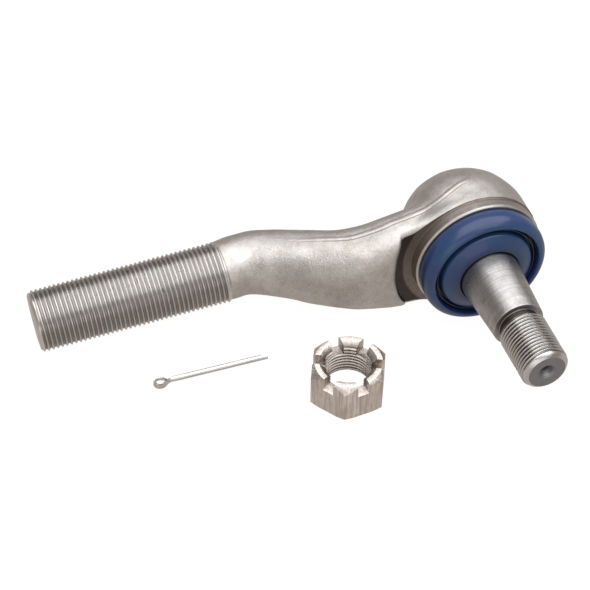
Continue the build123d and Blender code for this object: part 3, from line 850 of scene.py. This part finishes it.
def makeRetainer():
    outer, front, back = retainer["outerRadius"], retainer["front"], retainer["back"]
    ring = lathe("retainerRing", [
        (outer, back, 0.25), (outer, front - retainer["rim"], 0.12), (outer - retainer["rim"], front, 0.12),
        (retainer["openingRadius"], front, 0.6), (retainer["openingRadius"], back, 0.3)], studAxis,
        segments=4 * retainer["lines"])
    for vertex in ring.data.vertices:
        x, y, z = vertex.co / mm
        if math.hypot(x, z) > outer - 0.1 and -y < front - retainer["rim"] - 0.1:
            turn = math.atan2(z, x)
            depth = retainer["lineDepth"] * (0.6 + 0.4 * math.sin(7 * turn) * math.sin(23 * turn + 1))
            inward = 1 - depth * (0.5 - 0.5 * math.cos(retainer["lines"] * turn)) / outer
            vertex.co.x *= inward
            vertex.co.z *= inward
    ring.data.materials.append(retainerSteel)
    ring.data.materials.append(retainerRimHighlight)
    # the front chamfer takes the lighter finish, a painted highlight
    for polygon in ring.data.polygons:
        x, y, z = polygon.center / mm
        if -y > front - retainer["rim"] + 0.05 and math.hypot(x, z) > outer - retainer["rim"] - 0.5:
            polygon.material_index = 1
    return tidyMesh(ring, 40)


retainerRing = makeRetainer()
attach(retainerRing, "root")
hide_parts("retainer_ring")
print("retainer made")


# ball stud

stud = {
    "ballRadius": boxOf("ball_stud")[1].y,
    "neckRadius": 10.8,
    "neckLength": 4.0,
    "taperStart": 28.0,
    "taperEnd": 60.6,
    "taperSmall": 11.9,
    "taperRate": 1 / 8,
    "undercut": 9.3,
    "threadStart": 63.2,
    "tip": -boxOf("ball_stud")[0].y,
    "centreDrill": 3.2,
    "drillRim": 4.2,
    "faceStock": 0.6,  # the thread is cut this much too long, then faced off
}
studThreadRadius = mounts["stud_thread"]["dims"]["r_mm"]
studPitch = inch / 14
studThread = {
    "Crest Radius": studThreadRadius,
    "Pitch": studPitch,
    "Depth": threadDepth(studPitch),
    "Length": stud["tip"] + stud["faceStock"] - stud["threadStart"],
    "Nose Depth": 3.4,
    "Nose Length": 3.8,
    "Nose Curve": 1.9,
    "Tail": 1.8,
    "Run Out": 0.6,
    "Segments": 72,
}


def makeStud():
    ball, neck = stud["ballRadius"], stud["neckRadius"]
    taperBig = stud["taperSmall"] + (stud["taperEnd"] - stud["taperStart"]) * stud["taperRate"] / 2
    sweep = math.pi - math.asin(neck / ball)
    steps = 40
    turns = [t * sweep / steps for t in range(steps + 1)]
    corners = [(ball * math.sin(turn), -ball * math.cos(turn)) for turn in turns]
    neckStart = corners[-1][1]
    corners[0] = (0, -ball)
    corners += [(neck, neckStart + stud["neckLength"], 2.0), (taperBig, stud["taperStart"], 2.0),
                (stud["taperSmall"], stud["taperEnd"] - 0.05, 0.35), (stud["undercut"], stud["taperEnd"], 0.4),
                (stud["undercut"], stud["threadStart"] + 2), (0, stud["threadStart"] + 2)]
    body = lathe("ballStud", corners, studAxis, segments=160)
    body.data.materials.append(studSteel)
    tidyMesh(body)
    threadEnd = axisFrame((0, -stud["tip"] - stud["faceStock"], 0), (0, 1, 0))
    thread = screwThread("studThread", studThread, threadEnd, studThreadSteel)
    combine(body, thread, "UNION")
    tip, drill = stud["tip"], stud["centreDrill"]
    cutter = lathe("centreDrill", [
        (0, tip + 2), (14, tip + 2), (14, tip), (stud["drillRim"], tip, 0.1), (drill, tip - 0.7, 0.2),
        (drill * 0.62, tip - 3.2, 0.4), (drill * 0.6, tip - 6), (0, tip - 6.8)], studAxis, segments=96)
    cutter.data.materials.append(endSteel)
    combine(body, tidyMesh(cutter), "DIFFERENCE")
    hole = mounts["cotter_hole"]
    radius = hole["dims"]["r_mm"]
    cross = lathe("cotterHole", [(0, -15), (radius + 0.8, -15), (radius, -studThreadRadius + 0.3, 0.3),
                                 (radius, studThreadRadius - 0.3, 0.3), (radius + 0.8, 15), (0, 15)],
                  axisFrame(Vector(hole["pos_m"]) / mm, hole["axis"]), segments=48)
    cross.data.materials.append(studSteel)
    combine(body, tidyMesh(cross), "DIFFERENCE")
    tidyMesh(body, 32)
    # painted shade in the roots of the stud's thread and over the whole undercut
    roots = threadRootShade(body, (0, 0, 0), (0, -1, 0), studThread, stud["taperEnd"] + 0.1, tip - 2.4)
    addAttribute(body, "hollowShade", roots)
    return body


ballStud = makeStud()
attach(ballStud, "stud")
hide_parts("ball_stud")
print("ball stud made:", len(ballStud.data.polygons), "faces")


# boot

boot = {
    "back": -boxOf("boot")[1].y + 0.1,
    "mouth": -boxOf("boot")[0].y,
    "widest": 29.8,
    "mouthRadius": 14.2,
    "grooveFloor": 5.8,
    "bend": (16, 27),  # along the boot: where it would start to move with the stud, and where it would move all the way with it
}


def makeBoot():
    back, mouth, widest, inside = boot["back"], boot["mouth"], boot["widest"], boot["mouthRadius"]
    baseOuter, baseDepth = boxOf("boot_base_ring")[1].z + 0.05, -boxOf("boot_base_ring")[0].y + 0.05
    baseInner = baseOuter - (baseDepth - back) - 0.15
    lipOuter = boxOf("boot_lip_ring")[1].z + 0.1
    lipFront, lipBack = -boxOf("boot_lip_ring")[0].y + 0.1, -boxOf("boot_lip_ring")[1].y - 0.1
    groove = back + boot["grooveFloor"]
    outline = [
        (28.5, back, 0.4), (29.4, back + 2.5, 1.6), (widest, back + 6.0, 2.2), (29.2, back + 8.7, 0.9),
        (27.3, back + 10.6, 1.2), (25.7, back + 11.0, 0.5), (25.2, back + 10.2, 0.4), (24.9, groove, 0.5),
        (23.9, groove, 0.3), (23.75, back + 8.8, 0.15), (23.4, back + 8.8, 0.15), (23.2, groove, 0.3),
        (22.2, groove, 0.4), (21.8, back + 10.1, 0.9), (20.4, back + 10.9, 1.2), (16.6, mouth - 0.45, 1.4),
        (inside + 0.25, mouth + 0.05, 0.9), (inside, mouth - 1.0, 0.2), (inside, lipFront), (lipOuter, lipFront),
        (lipOuter, lipBack), (inside, lipBack), (inside, mouth - 3.5, 0.3), (18.7, back + 5.2, 1.5),
        (24.2, back + 3.9, 1.5), (24.5, back), (baseInner, back), (baseInner, baseDepth), (baseOuter, baseDepth),
        (baseOuter, back)]
    piece = lathe("dustBoot", outline, studAxis, segments=160, steps=6)
    piece.data.materials.append(bootBlue)
    tidyMesh(piece, 50)
    x, y, z = pointsOf(piece).T
    out, along = np.hypot(x, z), -y - back
    # painted shade in the groove, darker towards its floor, and round the mouth by the stud
    inGroove = (out > 21.9) & (out < 25.1) & (along > 5)
    mouthShade = np.maximum(np.clip((15.0 - out) / 0.8, 0, 1), 0.55 * np.clip((20.0 - out) / 4.5, 0, 1))
    addAttribute(piece, "hollowShade", np.where(inGroove, np.clip((10.0 - along) / 3.0, 0, 1), mouthShade))
    return piece


dustBoot = makeBoot()
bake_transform(dustBoot)
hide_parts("boot")
print("boot made")


# slotted nut

nut = {
    "acrossFlats": 31.75,
    "turn": math.radians(4.6),
    "chamferRadius": 15.2,  # outer edge of the flat top
    "chamferSlope": 1.0,
    "footRadius": 16.6,
    "footSlope": 0.45,
    "countersink": 12.9,
    "slotWidth": 5.3,
    "slotDepth": 6.2,
    "slots": 6,
    "edge": 0.22,
}


def makeNut():
    table, top = nutLow.z, nutHigh.z
    place = Matrix.Translation((nutCentre.x, nutCentre.y, 0)) @ Matrix.Rotation(nut["turn"], 4, "Z")
    cornerRadius = nut["acrossFlats"] / math.sqrt(3)
    turns = [i * math.pi / 3 for i in range(6)]
    ring = [(cornerRadius * math.cos(turn), cornerRadius * math.sin(turn)) for turn in turns]
    piece = prism("slottedNut", ring, table, top, place)
    piece.data.materials.append(nutSteel)
    wide = cornerRadius + 2
    turned = lathe("nutTurning", [
        (0, table), (nut["footRadius"], table), (wide, table + (wide - nut["footRadius"]) * nut["footSlope"]),
        (wide, top - (wide - nut["chamferRadius"]) * nut["chamferSlope"]), (nut["chamferRadius"], top),
        (0, top)], place)
    combine(piece, tidyMesh(turned), "INTERSECT")
    boreRadius = nutThread["dims"]["r_mm"]
    minorRadius = boreRadius - threadDepth(studPitch)
    sink = nut["countersink"]
    bore = lathe("nutBore", [
        (0, table - 1), (sink + 1, table - 1), (minorRadius, table + sink - minorRadius),
        (minorRadius, top + minorRadius - sink), (sink + 1, top + 1), (0, top + 1)], place)
    combine(piece, tidyMesh(bore), "DIFFERENCE")
    for i in range(nut["slots"] // 2):
        half, reach, floor = nut["slotWidth"] / 2, cornerRadius + 3, top - nut["slotDepth"]
        corners = [(-reach, -half), (reach, -half), (reach, half), (-reach, half)]
        slotTurn = Matrix.Rotation(math.radians(30) + i * math.pi / 3, 4, "Z")
        combine(piece, prism("slot", corners, floor, top + 3, place @ slotTurn), "DIFFERENCE")
    tidyMesh(piece)
    bevel = piece.modifiers.new("edges", "BEVEL")
    bevel.width = nut["edge"] * mm
    bevel.segments = 2
    bevel.limit_method = "ANGLE"
    bevel.angle_limit = math.radians(25)
    bakeModifiers(piece)
    tapThread = {**studThread, "Crest Radius": boreRadius, "Depth": threadDepth(studPitch) + 0.05,
                 "Length": top - table + 4 * studPitch, "Nose Depth": 2, "Nose Length": 0.1, "Nose Curve": 1.0,
                 "Tail": 2, "Run Out": 0.1}
    tapPlace = place @ Matrix.Translation((0, 0, table - 2 * studPitch))
    tap = screwThread("nutTap", tapThread, tapPlace, nutSteel)
    combine(piece, tap, "DIFFERENCE")
    tidyMesh(piece, 28)
    x, y, z = (pointsOf(piece) - np.array((nutCentre.x, nutCentre.y, table))).T
    out = np.hypot(x, y)
    # painted shade in the bore: in the tap's roots, and darker towards the bottom of the bore
    root = np.clip((out - minorRadius) / (boreRadius - minorRadius), 0, 1)
    low = 1 - smoothStep(z, 0, 0.7 * (top - table))
    deep = np.maximum(0.35 + 0.65 * root, 0.9 * low)
    addAttribute(piece, "hollowShade", np.where(out < boreRadius + 0.1, deep, 0))
    return piece


slottedNut = makeNut()
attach(slottedNut, "nut")
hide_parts("slotted_nut")
print("nut made:", len(slottedNut.data.polygons), "faces")


# cotter pin: one half-round wire, bent round its eye and folded back on itself

pin = {
    "wireRadius": 1.35,
    "eyeRadius": 2.6,
    "gap": 0.12,
    "turn": math.radians(-1.2),
    "shortBy": 2.5,  # one leg is this much shorter
    "eyePlace": (-152.6, -14.5),
    "length": 50.7,
}


def makePin():
    eye, gap, length, radius = pin["eyeRadius"], pin["gap"], pin["length"], pin["wireRadius"]
    bend = [(length, gap), (length * 0.75, gap), (length * 0.5, gap), (length * 0.25, gap), (eye * 3, gap),
            (eye * 2, gap * 1.5), (eye * 1.35, eye * 0.42), (eye * 0.8, eye * 1.02), (0, eye * 1.2),
            (-eye * 0.85, eye * 0.9), (-eye * 1.22, 0)]
    back = [(x - (pin["shortBy"] if x == length else 0), -y) for x, y in reversed(bend[:-1])]
    bend = [(x, y, 0) for x, y in bend + back]
    section = bpy.data.curves.new("pinSection", "CURVE")
    half = section.splines.new("POLY")
    arc = [(-radius * math.sin(i * math.pi / 12), radius * math.cos(i * math.pi / 12), 0) for i in range(13)]
    half.points.add(len(arc) - 1)
    for point, place in zip(half.points, arc):
        point.co = (*(Vector(place) * mm), 1)
    half.use_cyclic_u = True
    profile = bpy.data.objects.new("pinSection", section)
    path = bpy.data.curves.new("cotterPin", "CURVE")
    path.dimensions = "2D"
    path.bevel_mode = "OBJECT"
    path.bevel_object = profile
    path.use_fill_caps = True
    path.resolution_u = 10
    wire = path.splines.new("NURBS")
    wire.points.add(len(bend) - 1)
    for point, place in zip(wire.points, bend):
        point.co = (*(Vector(place) * mm), 1)
    wire.order_u = 4
    wire.use_endpoint_u = True
    shape = bpy.data.objects.new("cotterPinPath", path)
    bpy.context.scene.collection.objects.link(shape)
    graph = bpy.context.evaluated_depsgraph_get()
    mesh = bpy.data.meshes.new_from_object(shape.evaluated_get(graph))
    bpy.data.objects.remove(shape)
    bpy.data.objects.remove(profile)
    centre = Vector((*pin["eyePlace"], nutLow.z + radius)) * mm
    mesh.transform(Matrix.Translation(centre) @ Matrix.Rotation(pin["turn"], 4, "Z"))
    piece = bpy.data.objects.new("cotterPin", mesh)
    bpy.context.scene.collection.objects.link(piece)
    mesh.materials.clear()
    mesh.materials.append(pinSteel)
    return tidyMesh(piece, 50)


cotterPin = makePin()
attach(cotterPin, "pin")
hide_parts("cotter_pin")
print("cotter pin made")


# pieces kept as the frame has them, with their finishes

keptFinishes = {
    "front_bearing": bearingAcetal,
    "rear_bearing": bearingAcetal,
    "thrust_plate": zincSteel,
    "preload_spring": springSteel,
    "retainer_seal": sealBlack,
    "boot_base_ring": springSteel,
    "boot_lip_ring": springSteel,
    "grease_fitting": zincSteel,
    "grease_check_ball": pinSteel,
    "grease_check_spring": springSteel,
}
for node, finish in keptFinishes.items():
    slots = frame["nodes"][node].data.materials
    slots.clear()
    slots.append(finish)
print("kept pieces finished:", len(keptFinishes))


# floor, light and camera

studio = {
    "aim": (-102.3, -51.3, 44.3),
    "azimuth": math.radians(-20.62),
    "elevation": math.radians(45.39),
    "roll": math.radians(0.78),
    "distance": 1000,
    "lens": 145.1,
    "sensor": 36,
    "floorSize": 6.0,
    "floorSeen": 0.97,  # brightness of the floor itself
    "floorBounce": 0.50,  # and of what it throws back at the part
    "warm": (1.0, 0.90, 0.83, 1),
    "lightAim": (-90, 0, 0),
    "lights": {  # place, size in metres, power, colour
        "overhead": ((60, -40, 900), (1.8, 1.7), 17.5, (1, 1, 1)),
        "frontFill": ((-350, -1100, 260), (1.3, 0.7), 2.4, (1.0, 0.97, 0.94)),
    },
    "world": (1.0, 0.88, 0.81, 1),
    "worldStrength": 0.27,
}


def makeFloor():
    half = studio["floorSize"] / mm / 2
    height = housingLow.z - 0.05
    corners = [(-half, -half, height), (half, -half, height), (half, half, height), (-half, half, height)]
    floor = meshObject("floor", corners, [(0, 1, 2, 3)])
    material = bpy.data.materials.new("floorPaper")
    material.use_nodes = True
    tree = material.node_tree
    tree.nodes.clear()
    path = tree.nodes.new("ShaderNodeLightPath")
    seen = addNode(tree, "ShaderNodeEmission", {"Color": (1, 1, 1, 1), "Strength": studio["floorSeen"]})
    paper = addNode(tree, "ShaderNodeBsdfDiffuse", {"Color": (0.07, 0.07, 0.07, 1)})
    lit = tree.nodes.new("ShaderNodeAddShader")
    tree.links.new(seen.outputs[0], lit.inputs[0])
    tree.links.new(paper.outputs[0], lit.inputs[1])
    bounce = addNode(tree, "ShaderNodeEmission", {"Color": studio["warm"], "Strength": studio["floorBounce"]})
    mix = tree.nodes.new("ShaderNodeMixShader")
    tree.links.new(path.outputs["Is Camera Ray"], mix.inputs[0])
    tree.links.new(bounce.outputs[0], mix.inputs[1])
    tree.links.new(lit.outputs[0], mix.inputs[2])
    output = tree.nodes.new("ShaderNodeOutputMaterial")
    tree.links.new(mix.outputs[0], output.inputs[0])
    floor.data.materials.append(material)


def addLight(name, place, size, power, colour):
    light = bpy.data.lights.new(name, "AREA")
    light.shape = "RECTANGLE"
    light.size, light.size_y = size
    light.energy = power
    light.color = colour
    holder = bpy.data.objects.new(name, light)
    holder.matrix_world = axisFrame(Vector(place) * mm, Vector(place) - Vector(studio["lightAim"]))
    bpy.context.scene.collection.objects.link(holder)


def makeLights():
    for name, values in studio["lights"].items():
        addLight(name, *values)
    world = bpy.data.worlds.new("studioWorld")
    bpy.context.scene.world = world
    world.use_nodes = True
    background = world.node_tree.nodes["Background"]
    background.inputs["Color"].default_value = studio["world"]
    background.inputs["Strength"].default_value = studio["worldStrength"]


def makeCamera():
    lens = bpy.data.cameras.new("view")
    lens.sensor_width = studio["sensor"]
    lens.lens = studio["lens"]
    camera = bpy.data.objects.new("view", lens)
    tilt = math.pi / 2 - studio["elevation"]
    turn = (Matrix.Rotation(studio["azimuth"], 4, "Z") @ Matrix.Rotation(tilt, 4, "X")
            @ Matrix.Rotation(studio["roll"], 4, "Z"))
    back = turn @ Vector((0, 0, 1))
    camera.matrix_world = Matrix.Translation((Vector(studio["aim"]) + back * studio["distance"]) * mm) @ turn
    bpy.context.scene.collection.objects.link(camera)
    bpy.context.scene.camera = camera


makeFloor()
makeLights()
makeCamera()
bpy.context.scene.view_settings.view_transform = "Standard"
print("studio set")
